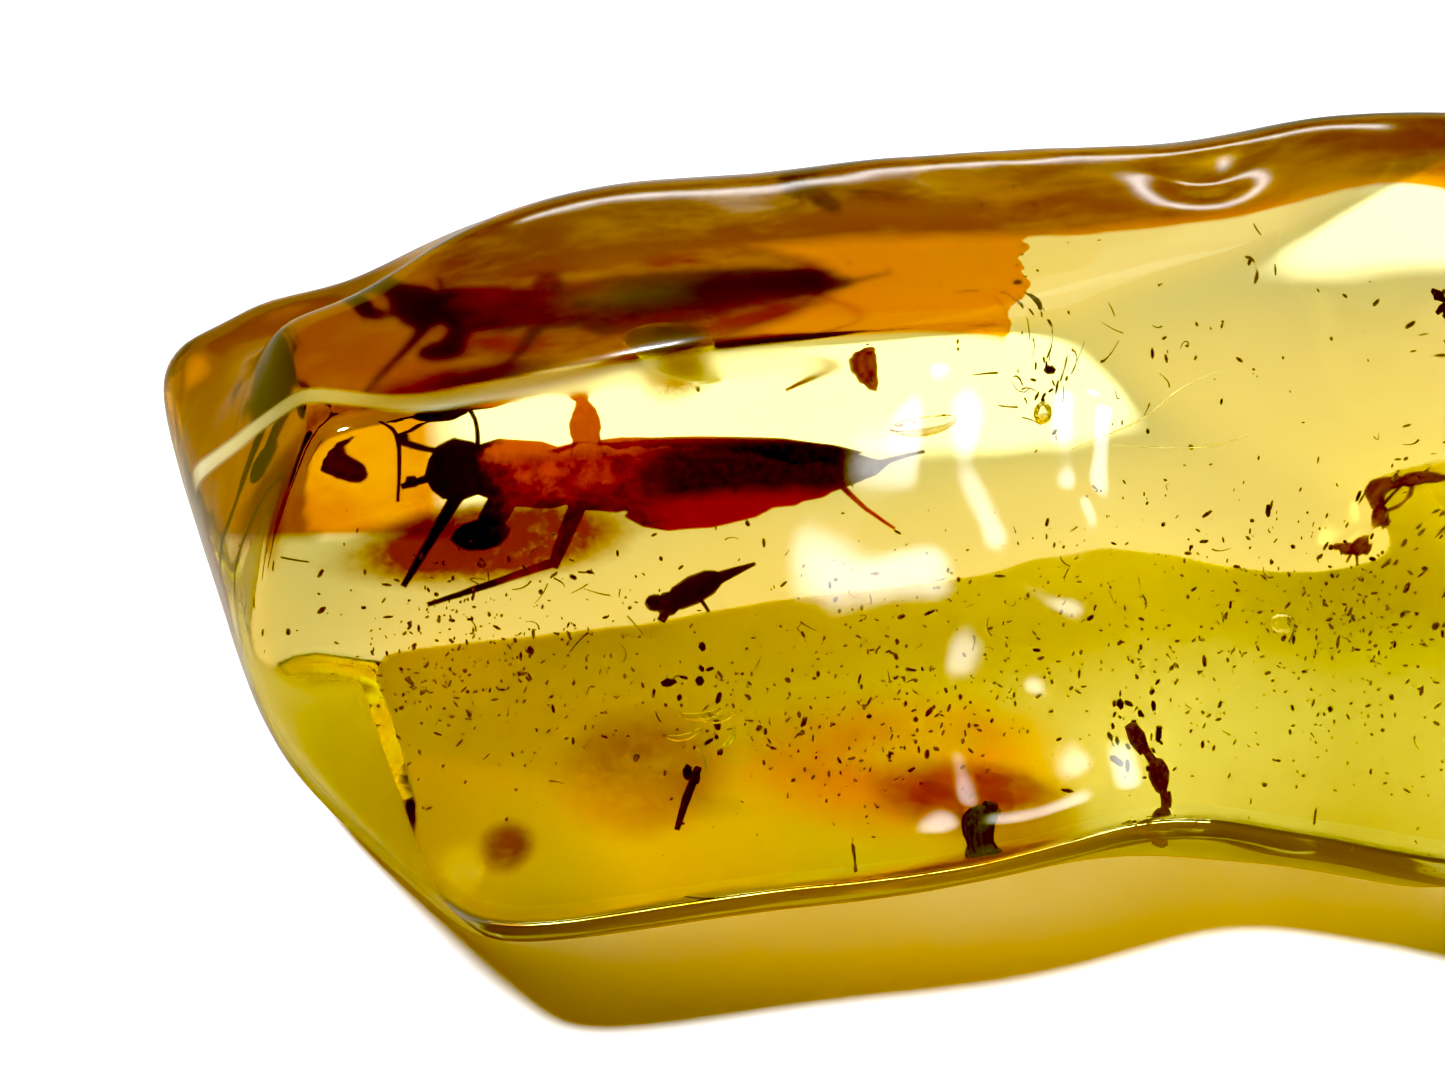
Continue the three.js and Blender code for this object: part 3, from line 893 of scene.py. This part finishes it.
@dataclass
class Nugget:
    """The clear copal: rounded ground facets, a wavering girth and worn hollows."""

    centre: Vector = field(default_factory=lambda: Vector((0.0, 0.5, 8.3)))
    reach: Vector = field(default_factory=lambda: Vector((28.0, 12.0, 8.5)))
    rounding: float = 34.0
    stations: tuple[float, ...] = (
        -30, -26.6, -24, -21, -17, -12, -6, 0, 5, 10, 16, 22, 30)
    girth: tuple[float, ...] = (
        0.98, 0.985, 1.06, 1.085, 1.115, 1.14, 1.14, 1.11, 1.13, 1.2, 1.15, 1.05, 0.98)
    sway: tuple[float, ...] = (
        0.1, 0.1, 0.1, 0.1, 0.3, 0.75, 0.9, 1.3, 0.5, -0.65, -0.3, 0.0, 0.0)
    wavering: float = 0.05
    ripple: float = 0.24
    fine_ripple: float = 0.62
    fine_share: float = 0.4
    fine_offset: Place = (7.0, 3.0, 5.0)
    fineness: int = 7
    finish: CopalFinish = field(default_factory=CopalFinish)

    def along(self, x: float, values: Sequence[float]) -> float:
        """Smooth value between the stations.

        Args:
            x: the place along the length.
            values: the value at each station.

        Returns:
            The value at x.
        """
        spots = self.stations
        last = len(spots) - 2
        i = min(max(sum(1 for s in spots if s < x) - 1, 0), last)

        def slope(k: int) -> float:
            """Slope at a station, level at both ends."""
            if k in (0, last + 1):
                return 0.0
            return (values[k + 1] - values[k - 1]) / (spots[k + 1] - spots[k - 1])

        h = spots[i + 1] - spots[i]
        t = min(max((x - spots[i]) / h, 0.0), 1.0)
        t2, t3 = t * t, t * t * t
        return ((2 * t3 - 3 * t2 + 1) * values[i] + (t3 - 2 * t2 + t) * h * slope(i)
                + (3 * t2 - 2 * t3) * values[i + 1] + (t3 - t2) * h * slope(i + 1))

    def skin_point(self, direction: Vector, facets: list[tuple[Vector, float]],
                   hollows: list[tuple[Vector, Vector, float, float]]) -> Vector:
        """Point of the skin in one direction from the centre.

        Args:
            direction: the unit direction.
            facets: each facet's normal and distance.
            hollows: each hollow's centre, inward direction, radius and depth.

        Returns:
            The point in millimetres.
        """
        total = sum((max(direction.dot(normal), 0.0) / distance) ** self.rounding
                    for normal, distance in facets)
        point = direction * total ** (-1.0 / self.rounding) + self.centre
        girth = self.along(point.x, self.girth)
        point.y = point.y * girth + self.along(point.x, self.sway)
        point.z *= girth
        for at, inward, radius, depth in hollows:
            push = depth * math.exp(-(point - at).length_squared / radius ** 2)
            point += inward * push
        fine = noise.noise(point * self.fine_ripple + Vector(self.fine_offset))
        wave = noise.noise(point * self.ripple) + self.fine_share * fine
        return point + direction * wave * self.wavering

    def build(self) -> bpy.types.Object:
        """Builds the nugget with its base ground flat.

        Returns:
            The clear piece, which stands for both halves.
        """
        facets = [(facet.normal(), facet.distance) for facet in FACETS.values()]
        hollows = []
        for hollow in HOLLOWS:
            at = Vector(hollow.at)
            inward = Vector((0, self.centre.y - at.y, self.centre.z - at.z)).normalized()
            hollows.append((at, inward, hollow.radius, hollow.depth))
        shape = bmesh.new()
        bmesh.ops.create_icosphere(shape, subdivisions=self.fineness, radius=1.0)
        for vert in shape.verts:
            stretched = Vector(a * b for a, b in zip(vert.co, self.reach)).normalized()
            vert.co = self.skin_point(stretched, facets, hollows) + SHIFT
        for face in shape.faces:
            face.smooth = True
        self.grind_base(shape)
        piece = finish_mesh("copal", shape, self.finish.material())
        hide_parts("copal_upper", "copal_lower")
        return piece

    @staticmethod
    def grind_base(shape: bmesh.types.BMesh) -> None:
        """Cuts the underside flat at the ground and closes it.

        Args:
            shape: the nugget's mesh.
        """
        everything = shape.verts[:] + shape.edges[:] + shape.faces[:]
        cut = bmesh.ops.bisect_plane(
            shape, geom=everything, dist=1e-5, plane_co=(0, 0, 0), plane_no=(0, 0, 1),
            clear_inner=True)
        rim = [item for item in cut["geom_cut"] if isinstance(item, bmesh.types.BMEdge)]
        for edge in rim:
            edge.smooth = False
        made = bmesh.ops.edgeloop_fill(shape, edges=rim)
        for face in made["faces"]:
            face.smooth = False
        bmesh.ops.recalc_face_normals(shape, faces=shape.faces)
        bmesh.ops.triangulate(shape, faces=made["faces"])


# ---- what is sealed in it ----------------------------------------------------------------


@dataclass
class Insects:
    """The solid inclusions, dressed in their own cuticle and bark."""

    def dress(self) -> None:
        """Gives each inclusion its material."""
        gnat = CuticleFinish("gnat_cuticle", (0.20, 0.03, 0.002), (0.66, 0.22, 0.012), 0.35, 0.6)
        black = CuticleFinish("beetle_cuticle", (0.004, 0.003, 0.002), (0.02, 0.012, 0.006))
        fly = CuticleFinish("fly_cuticle", (0.13, 0.035, 0.006), (0.42, 0.16, 0.03), 0.3, 0.4)
        seed = CuticleFinish("seed_coat", (0.08, 0.014, 0.002), (0.35, 0.09, 0.01), 0.3)
        bark = ScrapFinish("green_bark", (0.012, 0.018, 0.006), (0.09, 0.11, 0.035))
        scrap = ScrapFinish("plant_scrap", (0.05, 0.018, 0.004), (0.26, 0.11, 0.02))
        finishes = {
            "cricket": CricketFinish(), "gnat": gnat, "small_beetle": black,
            "humpbacked_fly": fly, "seed": seed, "bark_bit": bark, "plant_scrap": scrap,
            "twig": ScrapFinish("twig_bark", (0.03, 0.014, 0.005), (0.16, 0.08, 0.02))}
        for name, finish in finishes.items():
            material = finish.material()
            for slot in bpy.data.objects[name].material_slots:
                slot.material = material
            LOG.info("%s dressed", name)


@dataclass
class Inside:
    """Tells whether a point lies inside the copal, and how deep."""

    tree: Any

    @classmethod
    def of(cls, piece: bpy.types.Object) -> "Inside":
        """Reads the finished nugget.

        Args:
            piece: the nugget.

        Returns:
            The test.
        """
        shape = bmesh.new()
        shape.from_mesh(piece.data)
        tree = BVHTree.FromBMesh(shape)
        shape.free()
        return cls(tree)

    def holds(self, at: Vector, margin: float) -> bool:
        """Whether a point is inside by a margin.

        Args:
            at: the point in millimetres.
            margin: the least depth in millimetres.

        Returns:
            True inside.
        """
        spot, normal, _, distance = self.tree.find_nearest(at * MM)
        return (at * MM - spot).dot(normal) < 0 and distance > margin * MM


@dataclass(frozen=True)
class Swarm:
    """A loose cloud of specks: middle, half axes, number and speck size in millimetres."""

    middle: Place
    half: Place
    count: int
    size: Span = (0.05, 0.14)

    def spot(self, dice: random.Random) -> Vector:
        """A random place in the cloud, thicker towards its middle."""
        return Vector([m + dice.gauss(0, 0.5) * h for m, h in zip(self.middle, self.half)])


@dataclass
class Specks:
    """Hundreds of dust grains and crumbs of plant matter, joined in two meshes."""

    seed: int = 4
    tries: int = 4
    depth: float = 0.25
    grades: tuple[float, ...] = (0.6, 0.8, 1.0, 1.3)
    stretch: tuple[Span, Span, Span] = ((0.8, 2.2), (0.5, 0.9), (0.35, 0.7))
    brown: tuple[Swarm, ...] = (
        Swarm((-4.0, -4.0, 6.0), (20.0, 5.0, 4.5), 520, (0.03, 0.09)),
        Swarm((6.0, -5.5, 6.5), (7.0, 5.0, 4.0), 380, (0.03, 0.09)),
        Swarm((-19.5, -3.5, 7.5), (4.5, 3.5, 3.5), 260, (0.03, 0.09)),
        Swarm((-9.0, -5.0, 5.0), (6.0, 3.5, 3.0), 240, (0.03, 0.09)),
        Swarm((-21.0, -5.5, 9.0), (3.0, 2.0, 3.0), 120, (0.03, 0.08)),
        Swarm((4.0, 3.0, 10.0), (10.0, 5.0, 4.0), 60, (0.04, 0.1)),
        Swarm((16.0, 0.0, 8.0), (10.0, 8.0, 5.0), 120),
    )
    dark: tuple[Swarm, ...] = (
        Swarm((-2.9, 1.5, 12.1), (0.4, 0.9, 1.0), 18, (0.05, 0.14)),
        Swarm((-0.4, -5.9, 3.9), (0.9, 1.2, 2.2), 34, (0.06, 0.2)),
        Swarm((-21.9, 5.8, 9.8), (0.5, 0.5, 0.9), 8, (0.15, 0.32)),
        Swarm((-13.4, -4.5, 5.6), (0.8, 1.2, 2.6), 16, (0.07, 0.2)),
        Swarm((2.0, -3.0, 8.0), (12.0, 4.0, 4.0), 60, (0.04, 0.12)),
        Swarm((9.4, -0.3, 14.4), (0.5, 0.6, 0.4), 5, (0.12, 0.25)),
        Swarm((14.0, 2.0, 7.0), (9.0, 8.0, 5.0), 40, (0.05, 0.13)),
    )

    def scatter(self, swarms: Iterable[Swarm], dice: random.Random,
                keep: Inside) -> bmesh.types.BMesh:
        """Scatters specks in their swarms.

        Args:
            swarms: the clouds to fill.
            dice: the source of chance.
            keep: tells whether a point is inside the copal.

        Returns:
            The joined specks in millimetres.
        """
        shape = bmesh.new()
        for swarm in swarms:
            placed = 0
            for _ in range(swarm.count * self.tries):
                if placed == swarm.count:
                    break
                at = swarm.spot(dice)
                size = dice.uniform(*swarm.size) * dice.choice(self.grades)
                if not keep.holds(at, size + self.depth):
                    continue
                half = [size * dice.uniform(*span) for span in self.stretch]
                bmesh.ops.create_icosphere(
                    shape, subdivisions=1, radius=1.0, matrix=pose(at, any_turn(dice), half))
                placed += 1
        return shape

    def build(self, keep: Inside) -> None:
        """Builds both meshes.

        Args:
            keep: tells whether a point is inside the copal.
        """
        dice = random.Random(self.seed)
        amber = ScrapFinish("amber_crumbs", (0.05, 0.02, 0.004), (0.28, 0.13, 0.02))
        black = ScrapFinish("dark_crumbs", (0.008, 0.007, 0.003), (0.07, 0.05, 0.015))
        finish_mesh("brown_specks", self.scatter(self.brown, dice, keep),
                    amber.material(), smooth=False)
        finish_mesh("dark_specks", self.scatter(self.dark, dice, keep),
                    black.material(), smooth=False)


@dataclass
class Fibres:
    """Fine hairs and root fibres: short bent chains of tapered bars."""

    seed: int = 11
    thickness: Span = (0.014, 0.035)
    bars: int = 5
    taper: float = 0.12
    tip: float = 0.1
    overlap: float = 1.15
    curl: float = 0.28
    depth: float = 0.3
    groups: tuple[Swarm, ...] = (
        Swarm((-6.0, -3.5, 7.0), (16.0, 4.0, 4.0), 46, (0.25, 0.7)),
        Swarm((-17.5, -1.5, 7.5), (4.0, 3.0, 2.5), 16, (0.4, 1.0)),
        Swarm((-1.1, 0.0, 12.5), (4.5, 2.5, 1.5), 22, (0.3, 0.9)),
        Swarm((8.0, -4.0, 7.0), (8.0, 4.0, 4.0), 26, (0.25, 0.6)),
    )

    def build(self, keep: Inside) -> None:
        """Builds the fibres as one mesh.

        Args:
            keep: tells whether a point is inside the copal.
        """
        dice = random.Random(self.seed)
        shape = bmesh.new()
        for group in self.groups:
            for _ in range(group.count):
                self.hair(shape, group, dice, keep)
        finish = ScrapFinish("root_fibre", (0.05, 0.022, 0.006), (0.22, 0.12, 0.03))
        finish_mesh("fibres", shape, finish.material())

    def hair(self, shape: bmesh.types.BMesh, group: Swarm, dice: random.Random,
             keep: Inside) -> None:
        """Adds one hair.

        Args:
            shape: the mesh to add to.
            group: the swarm it belongs to.
            dice: the source of chance.
            keep: tells whether a point is inside the copal.
        """
        at = group.spot(dice)
        way = Vector([dice.gauss(0, 1) for _ in range(3)]).normalized()
        bend = Vector([dice.gauss(0, 1) for _ in range(3)]) * self.curl
        bar = dice.uniform(*group.size) / self.bars
        radius = dice.uniform(*self.thickness)
        for index in range(self.bars):
            ahead = at + way * bar
            if not keep.holds(ahead, self.depth):
                return
            turn = way.to_track_quat("Z", "Y").to_euler()
            taper = 1.0 - self.taper * index
            bmesh.ops.create_cone(
                shape, cap_ends=True, segments=4, radius1=radius * taper,
                radius2=radius * (taper - self.tip), depth=bar * self.overlap,
                matrix=pose((at + ahead) / 2, turn, (1, 1, 1)))
            at, way = ahead, (way + bend).normalized()


@dataclass(frozen=True)
class AirLens:
    """A flat pocket of air: place, half axes, turn in degrees and bend in millimetres."""

    at: Place
    half: Place
    turn: Place = (0.0, 0.0, 0.0)
    bend: float = 0.0

    def bow(self, across: float) -> float:
        """Sideways bow of the round pocket at a place along its length, before it is sized."""
        return self.bend * across ** 2 / max(self.half[1], 0.05) * 0.35


@dataclass
class SealedAir:
    """Bubbles, a stress fracture like a small disc, and crescent cracks."""

    lenses: tuple[AirLens, ...] = (
        AirLens((-13.75, -1.5, 16.0), (1.45, 1.3, 0.05), (-14, 26, 20), 0.15),
        AirLens((-3.0, 0.8, 11.4), (0.34, 0.34, 0.34)),
        AirLens((-6.6, -0.6, 12.4), (0.95, 0.3, 0.1), (40, 0, 8), 0.25),
        AirLens((-13.8, -6.4, 6.9), (0.75, 0.13, 0.025), (50, 10, 12), 0.5),
        AirLens((-13.3, -6.2, 6.5), (0.6, 0.11, 0.025), (45, -10, -8), 0.45),
        AirLens((-14.3, -6.6, 6.3), (0.7, 0.12, 0.025), (55, 15, 28), 0.5),
        AirLens((-12.9, -6.5, 5.9), (0.5, 0.1, 0.025), (50, 5, 60), 0.4),
        AirLens((-13.8, -6.9, 5.6), (0.62, 0.1, 0.025), (50, 5, 100), 0.45),
        AirLens((4.5, -4.8, 6.7), (0.42, 0.3, 0.06), (50, 0, 0), 0.1),
        AirLens((0.2, -0.9, 12.0), (2.6, 0.03, 0.02), (0, -8, 12), 0.15),
        AirLens((1.4, -1.6, 11.4), (2.2, 0.03, 0.02), (0, 6, -6), 0.1),
    )

    def build(self) -> None:
        """Builds the air pockets as one mesh."""
        shape = bmesh.new()
        for lens in self.lenses:
            made = bmesh.ops.create_uvsphere(shape, u_segments=28, v_segments=14, radius=1.0)
            for vert in made["verts"]:
                vert.co.y += lens.bow(vert.co.x)
            turn = Euler([math.radians(angle) for angle in lens.turn])
            bmesh.ops.transform(
                shape, matrix=pose(Vector(lens.at), turn, lens.half), verts=made["verts"])
        bmesh.ops.recalc_face_normals(shape, faces=shape.faces)
        finish_mesh("sealed_air", shape, HollowFinish().material())


@dataclass(frozen=True)
class Stain:
    """A tinted cloud: place, half length and width, colour, strength and turn in its plane."""

    name: str
    at: Place
    half: Span
    colour: Colour
    cover: float = 1.0
    spin: float = 0.0
    size: float = 1.6
    lean: float = 50.0
    thickness: float = 0.2

    def build(self) -> None:
        """Builds the stain's thin sheet."""
        shape = bmesh.new()
        bmesh.ops.create_uvsphere(shape, u_segments=40, v_segments=16, radius=1.0)
        turn = (Matrix.Rotation(math.radians(self.lean), 3, "X")
                @ Matrix.Rotation(math.radians(self.spin), 3, "Z"))
        matrix = pose(Vector(self.at), turn.to_euler(), (*self.half, self.thickness))
        bmesh.ops.transform(shape, matrix=matrix, verts=shape.verts)
        finish = StainFinish(self.name, Vector(self.at), turn, self.half, self.colour,
                             self.cover, self.size)
        finish_mesh(self.name, shape, finish.material())


STAINS = (
    Stain("cricket_smear", (-19.2, 1.6, 7.5), (5.4, 1.6), (0.33, 0.07, 0.003), 1.9, 2.0),
    # Painted light: a warm orange glow seen through the lower front.
    Stain("orange_glow", (-7.9, -6.2, 3.7), (6.4, 2.7), (1.0, 0.42, 0.01), 1.2, -6.0, 2.2),
    # Painted light: a browner, darker part of the same glow.
    Stain("brown_glow", (-6.0, -6.9, 2.9), (4.2, 1.4), (0.35, 0.10, 0.005), 1.4, -12.0, 1.4),
    # Painted shade: the shaded base seen through the lower left front.
    Stain("olive_pane", (-15.6, -6.2, 4.6), (3.4, 2.6), (0.55, 0.34, 0.05), 1.4, 0.0, 1.8),
    Stain("fracture_shade", (-13.75, -1.3, 15.9), (1.5, 1.25), (0.26, 0.12, 0.02), 1.4, 15.0, 0.5),
    Stain("olive_smudge", (-19.7, -8.4, 4.4), (1.1, 1.0), (0.35, 0.15, 0.02), 1.3, 20.0, 0.9),
)


# ---- the studio --------------------------------------------------------------------------


def hang_lamp(name: str, kind: str, away: Vector) -> Any:
    """Adds a lamp that shines down one direction.

    Args:
        name: the lamp's name.
        kind: Blender's lamp type.
        away: the direction from the object to the lamp.

    Returns:
        The lamp's data and the object that holds it.
    """
    lamp = bpy.data.lights.new(name, kind)
    holder = bpy.data.objects.new(name, lamp)
    bpy.context.scene.collection.objects.link(holder)
    holder.rotation_euler = away.to_track_quat("Z", "Y").to_euler()
    return lamp, holder


@dataclass(frozen=True)
class Sun:
    """A strong, distant light: direction in degrees, strength and apparent width."""

    name: str
    azimuth: float
    elevation: float
    strength: float
    width: float = 5.0

    def hang(self) -> None:
        """Adds the light."""
        lamp, _ = hang_lamp(self.name, "SUN", towards(self.azimuth, self.elevation))
        lamp.energy = self.strength
        lamp.angle = math.radians(self.width)


@dataclass(frozen=True)
class Spot:
    """A lamp that lights only a strip of the floor: direction, cone and brightness."""

    name: str
    azimuth: float
    elevation: float
    cone: float
    brightness: float
    distance: float = 150.0
    aim: Place = (-4.0, 26.0, 0.0)
    softness: float = 0.6
    bulb: float = 6.0

    def hang(self) -> None:
        """Adds the light."""
        away = towards(self.azimuth, self.elevation)
        lamp, holder = hang_lamp(self.name, "SPOT", away)
        reach = self.distance * MM
        lamp.energy = 4.0 * math.pi**2 * self.brightness * reach**2 / away.z
        lamp.spot_size = math.radians(self.cone)
        lamp.spot_blend = self.softness
        lamp.shadow_soft_size = self.bulb * MM
        holder.location = (Vector(self.aim) + away * self.distance) * MM


@dataclass(frozen=True)
class Window:
    """A soft round window: direction, inner and outer half angle in degrees, brightness."""

    azimuth: float
    elevation: float
    inner: float
    outer: float
    brightness: float


@dataclass(frozen=True)
class Softbox:
    """A soft white panel: direction and size in degrees and brightness, at one distance."""

    name: str
    azimuth: float
    elevation: float
    size: Span
    brightness: float
    distance: float = 400.0
    aim: Place = (-8.0, -1.0, 8.0)

    def hang(self) -> None:
        """Adds the panel."""
        away = towards(self.azimuth, self.elevation)
        lamp, holder = hang_lamp(self.name, "AREA", away)
        lamp.shape = "RECTANGLE"
        lamp.size, lamp.size_y = (
            2.0 * math.tan(math.radians(angle) / 2.0) * self.distance * MM
            for angle in self.size)
        lamp.energy = math.pi * self.brightness * lamp.size * lamp.size_y
        holder.visible_diffuse = False
        holder.location = (Vector(self.aim) + away * self.distance) * MM


@dataclass
class Studio:
    """White board, a high side light, soft panels and the camera."""

    azimuth: float = -98.0
    elevation: float = 42.0
    lens: float = 85.0
    frame_width: float = 44.0
    sensor: float = 36.0
    target: Place = (-12.245, -0.98, 8.6)
    board: float = 1500.0
    floor_gap: float = 0.03
    dome: float = 0.03
    black_level: Colour = (0.005, 0.03, 0.10)
    bounces: int = 28
    mirror_bounces: int = 12
    clear_bounces: int = 24
    sun: Sun = Sun("left_sun", 180.0, 64.5, 4.7)
    spot: Spot = Spot("back_spot", 95.0, 42.0, 24.0, 0.7)
    panels: tuple[Softbox, ...] = (
        Softbox("back_right", 57.0, 38.0, (20.0, 26.0), 0.85),
        Softbox("back_left", 81.0, 38.0, (28.0, 26.0), 0.5),
        Softbox("back_low", 82.0, 12.0, (26.0, 2.6), 10.0),
    )
    windows: tuple[Window, ...] = (
        Window(-69.5, 27.0, 0.6, 4.2, 16.0),
        Window(-57.5, 24.0, 0.3, 3.2, 14.0),
        Window(-60.5, 31.5, 0.3, 2.4, 12.0),
    )

    def build(self) -> None:
        """Builds the floor, the lights and the camera."""
        self.lay_floor()
        self.light_dome()
        for light in (self.sun, self.spot, *self.panels):
            light.hang()
        self.stand_camera()

    def lay_floor(self) -> None:
        """Lays the plain pale floor."""
        shape = bmesh.new()
        bmesh.ops.create_grid(shape, x_segments=1, y_segments=1, size=self.board * MM)
        bmesh.ops.translate(shape, vec=(0, 0, -self.floor_gap * MM), verts=shape.verts)
        mesh = bpy.data.meshes.new("floor")
        shape.to_mesh(mesh)
        shape.free()
        floor = bpy.data.objects.new("floor", mesh)
        bpy.context.scene.collection.objects.link(floor)
        mesh.materials.append(FloorFinish().material())

    def grade(self, view: bpy.types.ColorManagedViewSettings) -> None:
        """Sets a plain view with deep, warm darks.

        Args:
            view: the scene's view settings.
        """
        view.view_transform = "Standard"
        view.use_curve_mapping = True
        view.curve_mapping.black_level = self.black_level
        view.curve_mapping.update()

    def light_dome(self) -> None:
        """Surrounds the scene with soft white light."""
        world = bpy.data.worlds.new("dome")
        bpy.context.scene.world = world
        world.cycles_visibility.diffuse = False
        kit = SkyKit(world)
        strength: Any = self.dome
        for window in self.windows:
            away = towards(window.azimuth, window.elevation)
            strength = kit.glow(away, window.inner, window.outer) * window.brightness + strength
        light = kit.node("ShaderNodeBackground", None, {"Strength": strength})
        kit.tree.links.new(light.outputs[0], kit.output.inputs["Surface"])

    def stand_camera(self) -> None:
        """Aims the camera at the broad ground face."""
        scene = bpy.context.scene
        lens = bpy.data.cameras.new("camera")
        lens.lens = self.lens
        lens.sensor_width = self.sensor
        lens.clip_start = MM
        camera = bpy.data.objects.new("camera", lens)
        scene.collection.objects.link(camera)
        away = towards(self.azimuth, self.elevation)
        distance = self.lens / self.sensor * self.frame_width
        camera.location = (Vector(self.target) + away * distance) * MM
        camera.rotation_euler = away.to_track_quat("Z", "Y").to_euler()
        scene.camera = camera
        self.grade(scene.view_settings)
        scene.cycles.max_bounces = self.bounces
        scene.cycles.transmission_bounces = self.bounces
        scene.cycles.glossy_bounces = self.mirror_bounces
        scene.cycles.transparent_max_bounces = self.clear_bounces
        scene.cycles.caustics_refractive = True
        scene.cycles.caustics_reflective = True


def main() -> None:
    """Builds the object and its studio."""
    logging.basicConfig(level=logging.INFO, format="%(name)s: %(message)s")
    nugget = Nugget().build()
    keep = Inside.of(nugget)
    Insects().dress()
    Specks().build(keep)
    Fibres().build(keep)
    SealedAir().build()
    for stain in STAINS:
        stain.build()
    Studio().build()


if __name__ == "__main__":
    main()
